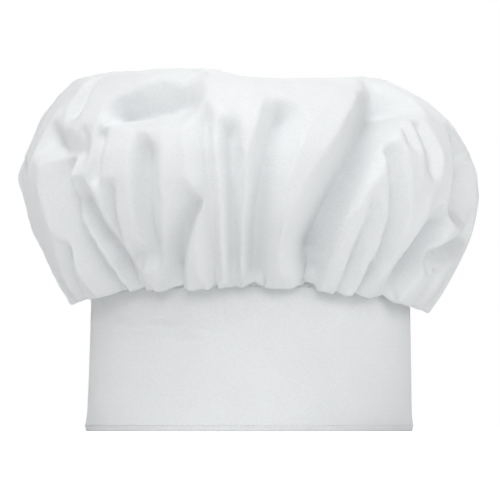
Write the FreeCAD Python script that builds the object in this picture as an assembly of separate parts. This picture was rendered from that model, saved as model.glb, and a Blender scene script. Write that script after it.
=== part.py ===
"""Chef's toque: a soft gathered crown sewn into a stiffened headband that closes at the back.

Frame, in millimetres: +Z up, origin at the centre of the head opening, in the plane of the band's
bottom edge. The front of the hat faces -Y, the closure is at +Y. Angles are in degrees about +Z
from +X, so the centre of the back is at 90.

The headband is three concentric strips: a lining, a stiffener and an outer cloth. Its ends overlap at
the back. The inner end, the underlap, carries a loop tape. The outer end is a free tab that carries a
hook tape, and it peels open about a vertical line at its root. The crown is one bag of cloth. Its
gathered edge is sewn in between the strips at the band's top, and the bag above leans to either side
about the seam. Each strip, tape, label and row of stitching is a solid of its own.
"""

import FreeCAD, Part
import math
import os

from FreeCAD import Vector

# ---- driving dimensions ----
HEAD_CIRCUMFERENCE = 578.0
BAND_HEIGHT = 80.0
CLOTH = 0.5
STIFFENER = 0.6
OUTER_CLOTH = 0.6
PLY_GAP = 0.05
TAPE = 0.8
THREAD = 0.3
THREAD_WIDTH = 0.6
THREAD_STAND_OFF = 0.03
SEWN_DEPTH = 12.0
HEM_DEPTH = 4.0
EDGE_ROW = 3.0

# ---- gathered neck: a bunched roll that stands on the band's top edge ----
ROLL_RADIUS = 96.8
ROLL_LIFT = 0.4
ROLL_HEIGHT = 4.0
ROLL_CORNER = 1.6
GATHER_ROW = 5.0
GATHER_GROOVE = 0.5
GROOVE_PLAY = 0.02

# ---- care label ----
LABEL_THICKNESS = 0.35
LABEL_DROP = 2.0
LABEL_LENGTH = 20.0
LABEL_START, LABEL_END = 140.0, 152.0

# ---- closure at the back ----
BACK = 90.0
TAB_HALF_ANGLE = 22.0
UNDERLAP_END = 76.0
TAB_ROOT_GAP = 0.4
TAB_HEAD_ROOM = 1.5
HOOK_START, HOOK_END = 98.0, 110.0
LOOP_START, LOOP_END = 79.0, 111.0
TAPE_MARGIN = 5.0
STITCH_INSET = 2.0
ROW_END_GAP = 1.0
TAB_CORE_INSET = 2.0

# ---- crown: the corners of half its section, each a radius and a height ----
CROWN_LIP_TOP = (101.0, 76.0)
CROWN_LIP_FOOT = (101.0, 71.0)
CROWN_LOWEST = (103.8, 67.4)
CROWN_OVERHANG = (107.0, 70.0)
CROWN_SIDE = (123.0, 103.0)
CROWN_WIDEST = (133.0, 140.0)
CROWN_FLANK = (122.0, 176.0)
CROWN_TURN = (112.5, 191.0)
CROWN_SHOULDER = (96.0, 200.0)
CROWN_TOP = 206.0
CROWN_WALL = 1.4
BACK_NOTCH_HALF_WIDTH = 60.0
BACK_NOTCH_Y = 60.0
BACK_NOTCH_TOP = 89.0

# ---- sizes that follow from these ----
BORE_R = HEAD_CIRCUMFERENCE / (2 * math.pi)
LINING = (BORE_R, BORE_R + CLOTH)
CORE = (LINING[1] + PLY_GAP, LINING[1] + PLY_GAP + STIFFENER)
OUTER = (CORE[1] + PLY_GAP, CORE[1] + PLY_GAP + OUTER_CLOTH)
LOOP = (OUTER[1] + PLY_GAP, OUTER[1] + PLY_GAP + TAPE)
HOOK = (LOOP[1] + PLY_GAP, LOOP[1] + PLY_GAP + TAPE)
# the tab's lining has to clear the hook tape, which lies on the loop tape
TAB_STEP = HOOK[1] + PLY_GAP - LINING[0]
TAB_ROOT = BACK - TAB_HALF_ANGLE
TAB_TIP = BACK + TAB_HALF_ANGLE
TAB_START = TAB_ROOT + math.degrees(TAB_ROOT_GAP / OUTER[1])
BAND_START, BAND_END = UNDERLAP_END, TAB_ROOT + 360.0
ON_OUTSIDE = (OUTER[1] + THREAD_STAND_OFF, OUTER[1] + THREAD_STAND_OFF + THREAD)
TAB_TOP = BAND_HEIGHT - TAB_HEAD_ROOM
UP = Vector(0, 0, 1)
ORIGIN = Vector(0, 0, 0)


def polar(radius, angle, z=0.0):
    """The point at a radius and an angle about +Z."""
    a = math.radians(angle)
    return Vector(radius * math.cos(a), radius * math.sin(a), z)


def ring_sector(radii, z, angles):
    """A curved strip: radii is (inner, outer), z is (bottom, top), angles is (start, end)."""
    inner, outer = radii
    low, high = z
    profile = [Vector(inner, 0, low), Vector(outer, 0, low), Vector(outer, 0, high), Vector(inner, 0, high)]
    face = Part.Face(Part.makePolygon(profile + profile[:1]))
    face.rotate(ORIGIN, UP, angles[0])
    return face.revolve(ORIGIN, UP, angles[1] - angles[0])


def arc_angle(length, radius):
    """The angle that an arc of this length spans at this radius."""
    return math.degrees(length / radius)


def tab_rise(angle):
    """How far the tab stands off the band's own radius: it climbs onto the underlap in a smooth step."""
    t = min(max((angle - TAB_START) / (UNDERLAP_END - TAB_START), 0.0), 1.0)
    return TAB_STEP * t * t * (3 - 2 * t)


def tab_curve(radius, angles):
    """A smooth horizontal curve that follows the tab at one of the band's radii."""
    degrees_per_point = 1.5
    steps = max(4, math.ceil((angles[1] - angles[0]) / degrees_per_point))
    at = [angles[0] + (angles[1] - angles[0]) * i / steps for i in range(steps + 1)]
    curve = Part.BSplineCurve()
    curve.interpolate([polar(radius + tab_rise(a), a) for a in at])
    return curve.toShape()


def tab_strip(radii, z, angles):
    """A strip of the tab between two of the band's radii, lifted by the tab's rise."""
    inner, outer = (tab_curve(r, angles) for r in radii)
    ends = [
        Part.makeLine(inner.Curve.value(e), outer.Curve.value(f))
        for e, f in zip(inner.ParameterRange, outer.ParameterRange)
    ]
    face = Part.Face(Part.Wire([inner, ends[1], outer, ends[0]]))
    face.translate(Vector(0, 0, z[0]))
    return face.extrude(Vector(0, 0, z[1] - z[0]))


def stitched_frame(strip, radii, z, angles, inset):
    """A closed rectangle of thread on a curved strip, inset from the strip's four edges."""
    turn = arc_angle(inset, radii[1])
    width = arc_angle(THREAD_WIDTH, radii[1])
    outside = strip(radii, (z[0] + inset, z[1] - inset), (angles[0] + turn, angles[1] - turn))
    hole_z = (z[0] + inset + THREAD_WIDTH, z[1] - inset - THREAD_WIDTH)
    hole_radii = (radii[0] - THREAD, radii[1] + THREAD)
    hole = strip(hole_radii, hole_z, (angles[0] + turn + width, angles[1] - turn - width))
    return outside.cut(hole)


# ---- headband ----
def band_strips():
    full = (0, BAND_HEIGHT)
    span = (BAND_START, BAND_END)
    core_z = (HEM_DEPTH, BAND_HEIGHT - SEWN_DEPTH - ROLL_LIFT)
    return {
        "band_lining": ring_sector(LINING, full, span),
        "band_stiffener": ring_sector(CORE, core_z, span),
        "band_outer": ring_sector(OUTER, full, span),
    }


def gathered_neck():
    """The crown's gathered edge: a flange sewn between the strips and a bunched roll above the band."""
    span = (BAND_START, BAND_END)
    foot = BAND_HEIGHT - SEWN_DEPTH
    low, high = BAND_HEIGHT + ROLL_LIFT, BAND_HEIGHT + ROLL_LIFT + ROLL_HEIGHT
    outline = [
        Vector(CORE[0], 0, foot),
        Vector(CORE[1], 0, foot),
        Vector(CORE[1], 0, low),
        Vector(ROLL_RADIUS - ROLL_CORNER, 0, low),
        Vector(ROLL_RADIUS, 0, low + ROLL_CORNER),
        Vector(ROLL_RADIUS, 0, high - ROLL_CORNER),
        Vector(ROLL_RADIUS - ROLL_CORNER, 0, high),
        Vector(CORE[0], 0, high),
    ]
    face = Part.Face(Part.makePolygon(outline + outline[:1]))
    face.rotate(ORIGIN, UP, span[0])
    neck = face.revolve(ORIGIN, UP, span[1] - span[0])
    groove_z = (BAND_HEIGHT - GATHER_ROW, BAND_HEIGHT - GATHER_ROW + GATHER_GROOVE)
    groove = ring_sector((CORE[0] - CLOTH, CORE[0] + THREAD), groove_z, (span[0] - 1, span[1] + 1))
    thread_radii = (CORE[0] + GROOVE_PLAY, CORE[0] + THREAD - GROOVE_PLAY)
    thread_z = (groove_z[0] + GROOVE_PLAY, groove_z[1] - GROOVE_PLAY)
    return {
        "gathered_neck": neck.cut(groove),
        "gathering_thread": ring_sector(thread_radii, thread_z, span),
    }


def band_stitching():
    """Rows along the band's two edges, clear of the loop tape, and one row up the underlap's end."""
    row_span = (LOOP_END + ROW_END_GAP, BAND_END - ROW_END_GAP)
    top_z = BAND_HEIGHT - EDGE_ROW
    end_insets = (STITCH_INSET, STITCH_INSET + THREAD_WIDTH)
    end_row = [BAND_START + arc_angle(inset, OUTER[1]) for inset in end_insets]
    end_z = (TAPE_MARGIN, BAND_HEIGHT - TAPE_MARGIN)
    return {
        "hem_stitching": ring_sector(ON_OUTSIDE, (EDGE_ROW, EDGE_ROW + THREAD_WIDTH), row_span),
        "top_edge_stitching": ring_sector(ON_OUTSIDE, (top_z, top_z + THREAD_WIDTH), row_span),
        "underlap_end_stitching": ring_sector(ON_OUTSIDE, end_z, end_row),
    }


def care_label():
    """A blank folded label that hangs inside the lining from just below its top edge."""
    radii = (BORE_R - PLY_GAP - LABEL_THICKNESS, BORE_R - PLY_GAP)
    z = (BAND_HEIGHT - LABEL_DROP - LABEL_LENGTH, BAND_HEIGHT - LABEL_DROP)
    return {"care_label": ring_sector(radii, z, (LABEL_START, LABEL_END))}


# ---- closure ----
def recessed_tape(strip, radii, z, angles, seat_radii):
    """A tape with its stitching sunk in a groove: returns the tape and the thread."""
    seat = stitched_frame(strip, seat_radii, z, angles, STITCH_INSET)
    thread_radii = (seat_radii[0] + GROOVE_PLAY, radii[1] - GROOVE_PLAY)
    thread_z = (z[0] + GROOVE_PLAY, z[1] - GROOVE_PLAY)
    thread = stitched_frame(strip, thread_radii, thread_z, angles, STITCH_INSET)
    return strip(radii, z, angles).cut(seat), thread.common(seat)


def closure_tapes():
    z = (TAPE_MARGIN, TAB_TOP - TAPE_MARGIN)
    loop_seat = (LOOP[1] - THREAD, LOOP[1] + TAPE)
    loop, loop_thread = recessed_tape(ring_sector, LOOP, z, (LOOP_START, LOOP_END), loop_seat)
    hook_angles = (HOOK_START, HOOK_END)
    hook = tab_strip((LINING[0] - PLY_GAP - TAPE, LINING[0] - PLY_GAP), z, hook_angles)
    return {
        "loop_tape": loop,
        "loop_tape_stitching": loop_thread,
        "hook_tape": hook,
        "hook_tape_stitching": stitched_frame(tab_strip, ON_OUTSIDE, z, hook_angles, STITCH_INSET),
    }


def tab_edge_stitching():
    """One row of thread along the tab's bottom edge, round its free end and back along its top edge."""
    z = (EDGE_ROW, TAB_TOP - EDGE_ROW)
    start = TAB_START + arc_angle(ROW_END_GAP, OUTER[1])
    end = TAB_TIP - arc_angle(STITCH_INSET, OUTER[1])
    row = tab_strip(ON_OUTSIDE, z, (start, end))
    inside_radii = (ON_OUTSIDE[0] - THREAD, ON_OUTSIDE[1] + THREAD)
    inside_z = (z[0] + THREAD_WIDTH, z[1] - THREAD_WIDTH)
    inside_end = end - arc_angle(THREAD_WIDTH, OUTER[1])
    return row.cut(tab_strip(inside_radii, inside_z, (TAB_START, inside_end)))


def tab_strips():
    z = (0, TAB_TOP)
    span = (TAB_START, TAB_TIP)
    turn = arc_angle(TAB_CORE_INSET, OUTER[1])
    core_z = (2 * TAB_CORE_INSET, TAB_TOP - 2 * TAB_CORE_INSET)
    return {
        "tab_lining": tab_strip(LINING, z, span),
        "tab_stiffener": tab_strip(CORE, core_z, (span[0] + turn, span[1] - turn)),
        "tab_outer": tab_strip(OUTER, z, span),
        "tab_edge_stitching": tab_edge_stitching(),
    }


# ---- crown ----
def crown_outline():
    """Half the crown's section as a wire, from its lip round the overhang, up the side and over the top."""

    def at(corner):
        return Vector(corner[0], 0, corner[1])

    def line(start, end):
        return Part.makeLine(at(start), at(end))

    def arc(start, through, end):
        return Part.Arc(at(start), at(through), at(end)).toShape()

    # the top is a shallow dome whose centre lies on the axis
    shoulder_radius, shoulder_z = CROWN_SHOULDER
    rise = CROWN_TOP - shoulder_z
    dome_radius = (shoulder_radius**2 + rise**2) / (2 * rise)
    half_way = shoulder_radius / 2
    dome_z = CROWN_TOP - dome_radius + math.sqrt(dome_radius**2 - half_way**2)
    return Part.Wire([
        line(CROWN_LIP_TOP, CROWN_LIP_FOOT),
        arc(CROWN_LIP_FOOT, CROWN_LOWEST, CROWN_OVERHANG),
        line(CROWN_OVERHANG, CROWN_SIDE),
        arc(CROWN_SIDE, CROWN_WIDEST, CROWN_FLANK),
        arc(CROWN_FLANK, CROWN_TURN, CROWN_SHOULDER),
        arc(CROWN_SHOULDER, (half_way, dome_z), (0, CROWN_TOP)),
    ])


def crown_body(inset):
    """The solid inside the crown's outline, moved inwards by inset and closed flat across its lip."""
    wire = crown_outline()
    if inset:
        wire = wire.makeOffset2D(inset, 0, False, True)
    ends = [v.Point for v in (wire.OrderedVertexes[0], wire.OrderedVertexes[-1])]
    top, lip = sorted(ends, key=lambda point: point.x)
    corner = Vector(0, 0, lip.z)
    edges = wire.Edges + [Part.makeLine(top, corner), Part.makeLine(corner, lip)]
    return Part.Face(Part.Wire(edges)).revolve(ORIGIN, UP, 360)


def back_notch(grow):
    """The room under the back of the crown in which the closure tab swings."""
    half = BACK_NOTCH_HALF_WIDTH + grow
    depth = CROWN_WIDEST[0] * 2
    return Part.makeBox(2 * half, depth, BACK_NOTCH_TOP + grow, Vector(-half, BACK_NOTCH_Y - grow, 0))


def crown():
    """The bag: its outline less its inside, open at the lip and cut away at the back for the tab."""
    outside = crown_body(0).cut(back_notch(0))
    inside = crown_body(CROWN_WALL).cut(back_notch(CROWN_WALL))
    head_hole = Part.makeCylinder(CROWN_LIP_TOP[0], BACK_NOTCH_TOP + 2 * CROWN_WALL)
    return {"crown": outside.cut(inside).cut(head_hole)}


def build():
    parts = {}
    for group in (band_strips, gathered_neck, band_stitching, care_label, tab_strips, closure_tapes, crown):
        parts.update(group())
    return parts


os.makedirs("parts", exist_ok=True)
for old in os.listdir("parts"):
    os.remove(os.path.join("parts", old))
for node, shape in build().items():
    volume = sum(s.Volume for s in shape.Solids)
    print(f"{node:24s} solids {len(shape.Solids)} valid {shape.isValid()} volume {volume:10.1f} mm3")
    shape.exportStep(os.path.join("parts", node + ".step"))
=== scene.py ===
"""Looks of a chef's toque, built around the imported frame: crown, headband, closure tab and stitching."""

import math

import bpy
import numpy as np
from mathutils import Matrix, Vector


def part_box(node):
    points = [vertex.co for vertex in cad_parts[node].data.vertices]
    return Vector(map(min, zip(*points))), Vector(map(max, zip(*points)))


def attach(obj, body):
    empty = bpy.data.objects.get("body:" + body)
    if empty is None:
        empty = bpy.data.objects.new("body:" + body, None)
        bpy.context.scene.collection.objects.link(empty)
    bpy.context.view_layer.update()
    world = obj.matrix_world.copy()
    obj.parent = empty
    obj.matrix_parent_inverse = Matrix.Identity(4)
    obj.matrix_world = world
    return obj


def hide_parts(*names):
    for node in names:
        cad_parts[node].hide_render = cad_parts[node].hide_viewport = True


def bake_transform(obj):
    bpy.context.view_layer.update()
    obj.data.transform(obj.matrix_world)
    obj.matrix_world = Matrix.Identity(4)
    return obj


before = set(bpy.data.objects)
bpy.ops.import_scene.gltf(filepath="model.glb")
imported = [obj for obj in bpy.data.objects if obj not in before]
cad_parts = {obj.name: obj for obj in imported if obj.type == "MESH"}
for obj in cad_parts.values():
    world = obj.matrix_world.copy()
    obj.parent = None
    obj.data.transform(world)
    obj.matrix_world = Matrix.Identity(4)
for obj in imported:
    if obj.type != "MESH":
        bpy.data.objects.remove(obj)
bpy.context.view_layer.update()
MM = 0.001
DEGREE = math.pi / 180
RING = 2 * math.pi

# ---- places taken from the frame ----
BAND_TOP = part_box("band_outer")[1].z
BAND_RADIUS = -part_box("band_outer")[0].y
LINING_OUTER = -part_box("band_lining")[0].y
CORE_OUTER = -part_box("band_stiffener")[0].y
TAB_LOW, TAB_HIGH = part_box("tab_outer")
TAB_RADIUS = TAB_HIGH.y
TAB_STEP = TAB_RADIUS - BAND_RADIUS
TAB_TOP = TAB_HIGH.z
TAB_START = math.acos(TAB_HIGH.x / BAND_RADIUS)
TAB_TIP = math.acos(TAB_LOW.x / TAB_RADIUS)

# ---- the crown's cloth ----
RINGS = 78
PATTERN_RADIUS = 276 * MM
CROWN_THICK = 0.8 * MM
CROWN_MIDDLE = (0, 0, 0.13)
SEAM_SHARE = 0.985
FOLDS_END_SHARE = 0.955
FULLNESS = 0.03
PLEATS = 66
# the crown's sewn edge, let in between the band's layers
FLANGE_RADII = (92.6 * MM, 93.08 * MM)
FLANGE_FOOT = 74.2 * MM
FLANGE_TURN = 1 * MM

# Half sections of the filled crown, seam to centre, each point a radius and a height in millimetres.
RIGHT = [(93.0, 82), (95, 86), (98, 79), (103, 66), (113, 80), (121.5, 97), (129.5, 113), (133, 134),
         (132, 148), (127, 161), (119.5, 174), (107, 186.5), (93, 195.5), (80, 202.5), (45, 201.5),
         (0, 203)]
LEFT = [(93.0, 82), (95, 86), (98, 80), (103.5, 71.5), (114.5, 86), (121, 99), (128, 113), (133.5, 134),
        (134.5, 148), (128, 162), (121.5, 178), (112.5, 191), (103.5, 201), (92, 205), (45, 205.5),
        (0, 203)]
FRONT = [(93.0, 82), (95, 86), (97.5, 81), (101, 74.5), (110, 83.5), (120, 99), (129, 115), (133, 134),
         (133, 148), (129, 162), (122, 175), (112, 184), (100, 189), (85, 191.5), (45, 198), (0, 202)]
BACK = [(93.0, 82), (95, 86), (98.5, 84), (103, 80), (112, 88), (121, 103), (129, 116), (133, 134),
        (132.5, 148), (128, 162), (121, 175), (111, 187), (100, 193), (86, 197), (45, 201), (0, 202)]
# the rim of the top is a little higher on the front's left
HIGH_RIM = 4.5
HIGH_RIM_ANGLE = -24
HIGH_RIM_SPREAD = 20
HIGH_RIM_POINTS = slice(11, 15)
# behind the sides the lip is drawn up
LIP_LIFT = 5
LIP_LIFT_START = 80
LIP_LIFT_SPAN = 22
LIP_POINTS = slice(2, 5)

# Folds on the front of the crown. Each is its depth, then the width of its flank on the left and on the right
# of its path, in millimetres, then the path itself: angles from the front in degrees, positive to the right,
# and heights in millimetres. A pair of widths is for the two ends of the path.
FRONT_FOLDS = [
    (6, 24, 22, [(-84, 92), (-79, 120), (-76, 156)]),
    (5, 8, 6, [(-64, 72), (-60, 90), (-57, 104)]),
    (9, 22, 7, [(-43, 74), (-47, 95), (-50, 112), (-50.5, 135), (-49, 156)]),
    (9, 7, 15, [(-37, 74), (-40, 95), (-44, 112), (-48.5, 135)]),
    (4, 5, 5, [(-39.5, 126), (-38.5, 145), (-38, 165)]),
    (3, 6, 4, [(-46, 136), (-46, 150), (-45, 166)]),
    (4.5, 4, 8, [(-50, 170), (-53, 183), (-56, 198)]),
    (5.5, (16, 12), (14, 8), [(-38, 150), (-45, 151), (-53, 155), (-64, 166)]),
    (10, (20, 9), (22, 4), [(-11, 181), (-19, 177), (-28, 174), (-40, 173)]),
    (7, 6, 10, [(-26.5, 98), (-25.5, 125), (-25, 156)]),
    (5, 6, 4, [(-36, 94), (-35.5, 112), (-34.5, 134)]),
    (5, 7, 8, [(-36, 91), (-30, 95), (-24, 91)]),
    (8.5, 12, 5, [(-22, 74), (-18.5, 98), (-15, 111), (-11, 126)]),
    (4, 9, 5, [(-10, 74), (-9, 110), (-10, 140), (-11, 176)]),
    (6, 7, 6, [(-4.5, 74), (-4, 110), (-4, 140), (-5, 168)]),
    (8.5, 8, (12, 16), [(1.5, 74), (1.5, 105), (2.6, 130), (4.6, 150), (8.5, 178)]),
    (12, 20, 6, [(19.5, 78), (19.2, 92), (18, 112)]),
    (15, (24, 13), (8, 12), [(19, 96), (20.5, 112), (24, 130), (28, 145), (31.5, 157), (36, 169), (43, 179),
                             (55, 187)]),
    (6, 6, 7, [(38.5, 92), (38, 120), (37, 140), (36, 158)]),
    (4, 4, 5, [(28.5, 74), (29.5, 98), (31, 112), (32.5, 124)]),
    (7, 5, 6, [(36, 70), (37, 92)]),
    (11, 22, 6, [(50, 72), (54, 90), (57, 103), (60, 119)]),
    (12, (26, 18), (38, 24), [(67, 112), (67.5, 132), (69, 148), (72, 166)]),
    (7, (6, 12), (9, 6), [(60, 95), (67, 100), (76, 107), (85, 116)]),
    (4, 5, 8, [(57, 120), (66, 126), (78, 137)]),
    (3, 6, 6, [(44, 148), (43, 163), (44, 180)]),
    (3, 9, 6, [(49, 134), (50.5, 152), (48, 172)]),
    (6, 6, 8, [(63, 66), (66, 90)]),
    (6, 6, 8, [(74, 64), (77, 92)]),
    (5, 7, 7, [(-70, 64), (-72, 88)]),
]
FOLD_SCALE = 1.65
FOLD_ROUNDING = 1.0
FOLD_EASE = 0.12
FOLD_END_FADE = 0.14
FOLD_START_FADE = 0.3
# folds that start above this height fade in
FOOT_OF_FOLDS = 104
# the radius at which the crown is unrolled, and the flat middle of the top, which has no folds
UNROLL_RADIUS = 125
PLAIN_TOP_RADIUS = 60
PLAIN_TOP_FADE = 30
# folds are shallower under the lip
LIP_FOLD_SHARE = 0.45
LIP_FOLD_HEIGHT = 72
LIP_FOLD_FADE = 16

FOLD_SEED = 11
SIDE_FOLD_COUNT = 24
SIDE_FOLDS_FROM = 92
SIDE_FOLDS_SPAN = 176
SIDE_FOLD_FOOT = 76
SIDE_FOLD_TOPS = (186, 124, 168, 140)

# ---- how the cloth settles ----
DRAPE_STEPS = 300
STEP_TIME = 1 / 900
GRAVITY = 9.81
KEPT_SPEED = 0.985
BENDING = 0.40
CREASE = 0.16 * MM
# the share of the gap to the folded shape closed at every step, for its folds and for its overall form
FOLD_HOLD = 0.025
FORM_HOLD = 0.02
FOLD_CELLS = (44, 130)
FORM_CELLS = (9, 20)
# touch, in spacings of the cloth's points
TOUCH = 0.78
TOUCH_REACH = 1.35
JOINED = 2.6
TOUCH_PUSH = 0.6
SEARCH_EVERY = 8
BAND_GAP = 2.5 * MM
BAND_GAP_TOP = 1 * MM

# ---- the headband and the closure tab ----
LINING_THICK = 0.5 * MM
CORE_THICK = 0.6 * MM
OUTER_THICK = 0.6 * MM
CLOTH_ROW = 2 * MM
LAYER_GAP = 0.05 * MM
UNDERLAP_END = 76 * DEGREE
HINGE = 68.12 * DEGREE
BEND_HALF = 1.9 * DEGREE
TAB_SEAM = 63.5 * DEGREE
TAB_CORNER = 7 * MM
TAB_FOOT = 0.2 * MM
TAB_CORE_MARGIN = 2 * MM
LINING_FOOT = 0.8 * MM
# the hem swells where the cloth is turned up
HEM_SWELL = 0.6 * MM
HEM_BELLY = 2.0 * MM
HEM_DEPTH = 0.9 * MM
HEM_TOP = 12 * MM
HEM_PLY_TOP = 6 * MM
# the soft crease across the front left: angles from the front, in degrees, and heights
WRINKLE_FROM = -58
WRINKLE_TO = -6
WRINKLE_HEIGHT = 59 * MM
WRINKLE_DROP = 7.5 * MM
TAPE_BASE = 0.38 * MM
TAPE_INSET = 3.2 * MM
PILE_RISE = 0.32 * MM
PILE_PITCH = 1.6 * MM
LOOP_BASE = (BAND_RADIUS + LAYER_GAP, BAND_RADIUS + LAYER_GAP + TAPE_BASE)
TAB_INSIDE = LINING_OUTER - LINING_THICK
HOOK_BASE = (TAB_INSIDE - LAYER_GAP - TAPE_BASE, TAB_INSIDE - LAYER_GAP)
LABEL_SPAN = (140 * DEGREE, 152 * DEGREE)
LABEL_THICK = 0.35 * MM
LABEL_CURL = 1.1 * MM

# ---- stitches: each is a capsule, given by shares of its length, its half thickness and its arch ----
STITCH_LENGTH = 2.3 * MM
STITCH_PITCH = 3.0 * MM
STITCH_WIDTH = 0.5 * MM
STITCH_SLANT = 0.12
STITCH_SIDES = 6
STITCH_SHARES = np.array([0, 0.12, 0.35, 0.65, 0.88, 1])
STITCH_THICKNESS = np.array([0.25, 0.8, 1, 1, 0.8, 0.25]) * STITCH_WIDTH / 2
STITCH_ARCH = np.array([-0.9, -0.1, 0.25, 0.25, -0.1, -0.9]) * STITCH_WIDTH / 2
THREAD_LIES = 0.10 * MM
HEM_LIES = 0.58 * MM
STITCHING_START = 112 * DEGREE
EDGE_INSET = 0.9 * DEGREE
CORNER_CUT = 1.6 * MM

# ---- colours and weave ----
COTTON_TINT = (0.80, 0.815, 0.825)
INTERLINING_TINT = (0.80, 0.80, 0.77)
LOOP_TINT = (0.84, 0.85, 0.85)
HOOK_TINT = (0.88, 0.88, 0.87)
LABEL_TINT = (0.86, 0.865, 0.86)
YARN_PITCH = 0.55 * MM
TWIST_PITCH = 0.5 * MM
RIB_PITCH = 0.3 * MM

# ---- stage: each light is its angle from the front, its angle up and its power ----
LIGHTS = {"front": (0, 26, 8.1), "left": (-58, 35, 4.3), "right": (60, 20, 6.7), "top_left": (-30, 68, 13.4),
          "back": (165, 35, 13.5)}
LIGHT_DISTANCE = 1.75
LIGHT_SIZE = 0.9
LIGHT_TARGET = (0, 0, 0.11)
WORLD_LIGHT = 0.22
FLOOR_HALF = 6
FLOOR_GLOW = 0.9
CAMERA_DISTANCE = 1.2
CAMERA_ASIDE = 0.6 * MM
CAMERA_HEIGHT = 3 * MM
CAMERA_AIM = 104.9 * MM
CAMERA_LENS = 149.2


# ---- the crown: a disc of cloth, its folds and its settling ----
def ring_start(k):
    """The number of the first point of ring k."""
    return 0 if k == 0 else 1 + 3 * k * (k - 1)


def disc_mesh(rings):
    """A flat disc of even triangles, ring k with 6 k points: each point's ring and angle, and the faces."""
    ring = np.concatenate([[0]] + [np.full(6 * k, k) for k in range(1, rings + 1)])
    angle = np.concatenate([[0.0]] + [np.arange(6 * k) * (RING / (6 * k)) for k in range(1, rings + 1)])
    faces = []
    for k in range(rings):
        inner, outer = ring_start(k), ring_start(k + 1)
        inner_count, outer_count = max(6 * k, 1), 6 * (k + 1)
        for sector in range(6):
            for i in range(k + 1):
                low = inner + (sector * k + i) % inner_count
                high = outer + sector * (k + 1) + i
                high_next = outer + (sector * (k + 1) + i + 1) % outer_count
                faces.append((low, high, high_next))
                if i < k:
                    faces.append((low, high_next, inner + (sector * k + i + 1) % inner_count))
    return ring, angle, np.array(faces)


def smooth_step(t):
    """0 below 0, 1 above 1, and a smooth rise between."""
    t = np.clip(t, 0, 1)
    return t * t * (3 - 2 * t)


def degrees_from_front(angle):
    """The angle from the front of the hat, in degrees from -180 to 180, positive towards +X."""
    return (np.degrees(angle) + 90 + 180) % 360 - 180


def about_axis(angle, radius, height):
    """Points at these angles, radii and heights about the hat's axis."""
    return np.stack([radius * np.cos(angle), radius * np.sin(angle), height], axis=-1)


def outward(angle):
    """Level unit vectors pointing out from the hat's axis."""
    return about_axis(angle, 1, np.zeros_like(angle))


def side_folds():
    """Folds round the sides and back, in the form of the front's, spread evenly and varied by seed."""
    draw = np.random.default_rng(FOLD_SEED)
    made = []
    for i in range(SIDE_FOLD_COUNT):
        foot = SIDE_FOLDS_FROM + SIDE_FOLDS_SPAN * (i + 0.5) / SIDE_FOLD_COUNT + draw.uniform(-3, 3)
        top = SIDE_FOLD_TOPS[i % 4] + draw.uniform(-12, 12)
        lean_over = draw.uniform(-13, 13)
        depth = draw.uniform(6, 9.5) if i % 2 == 0 else draw.uniform(3.5, 6)
        widths = draw.uniform(6, 24, 2)
        heights = [SIDE_FOLD_FOOT + (top - SIDE_FOLD_FOOT) * share for share in (0, 0.35, 0.7, 1)]
        sway = [0, draw.uniform(-2, 2), lean_over * 0.5 + draw.uniform(-2, 2), lean_over]
        made.append((depth, widths[0], widths[1], [(foot + d, h) for d, h in zip(sway, heights)]))
    return made


def section_at(angle_from_front):
    """The crown's half section at each angle, blended between the four drawn ones."""
    c, s = np.cos(angle_from_front), np.sin(angle_from_front)
    weights = np.stack([np.maximum(s, 0)**2, np.maximum(-s, 0)**2, np.maximum(c, 0)**2, np.maximum(-c, 0)**2])
    sections = np.einsum("kn,kpc->npc", weights, np.array([RIGHT, LEFT, FRONT, BACK], float))
    off = (np.degrees(angle_from_front) - HIGH_RIM_ANGLE + 180) % 360 - 180
    sections[:, HIGH_RIM_POINTS, 1] += (HIGH_RIM * np.exp(-(off / HIGH_RIM_SPREAD)**2))[:, None]
    away = np.abs((np.degrees(angle_from_front) + 180) % 360 - 180)
    sections[:, LIP_POINTS, 1] += LIP_LIFT * smooth_step((away - LIP_LIFT_START) / LIP_LIFT_SPAN)[:, None]
    return sections * MM


def filled_shape(share, angle):
    """Where each point of the cloth lies on the filled crown before the folds are pressed in."""
    from_front = angle + math.pi / 2
    sections = section_at(from_front)
    steps = np.linalg.norm(np.diff(sections, axis=1), axis=2)
    along = np.concatenate([np.zeros((len(share), 1)), np.cumsum(steps, axis=1)], axis=1)
    along /= along[:, -1:]
    want = 1 - share
    i = np.clip((along < want[:, None]).sum(axis=1) - 1, 0, along.shape[1] - 2)
    n = np.arange(len(share))
    t = (want - along[n, i]) / (along[n, i + 1] - along[n, i])
    rz = sections[n, i] * (1 - t)[:, None] + sections[n, i + 1] * t[:, None]
    return about_axis(angle, rz[:, 0], rz[:, 1])


def distance_to_path(at, path):
    """Each point's distance from a path in a plane, its side of the path, and how far along it is, 0 to 1."""
    path = np.array(path, float)
    lengths = np.linalg.norm(np.diff(path, axis=0), axis=1)
    before = np.concatenate([[0], np.cumsum(lengths)])
    nearest = np.full(len(at), 1e9)
    side, along = np.ones(len(at)), np.zeros(len(at))
    for start, end, length, run in zip(path[:-1], path[1:], lengths, before):
        way = (end - start) / length
        t = np.clip((at - start) @ way, 0, length)
        off = at - start - t[:, None] * way
        distance = np.hypot(off[:, 0], off[:, 1])
        closer = distance < nearest
        nearest[closer] = distance[closer]
        side[closer] = np.sign(way[0] * off[:, 1] - way[1] * off[:, 0])[closer]
        along[closer] = ((run + t) / before[-1])[closer]
    return nearest, side, along


def width_along(width, along):
    """A flank's width: one number, or a pair for the two ends of its fold."""
    start, end = width if isinstance(width, tuple) else (width, width)
    return start + (end - start) * along


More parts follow.
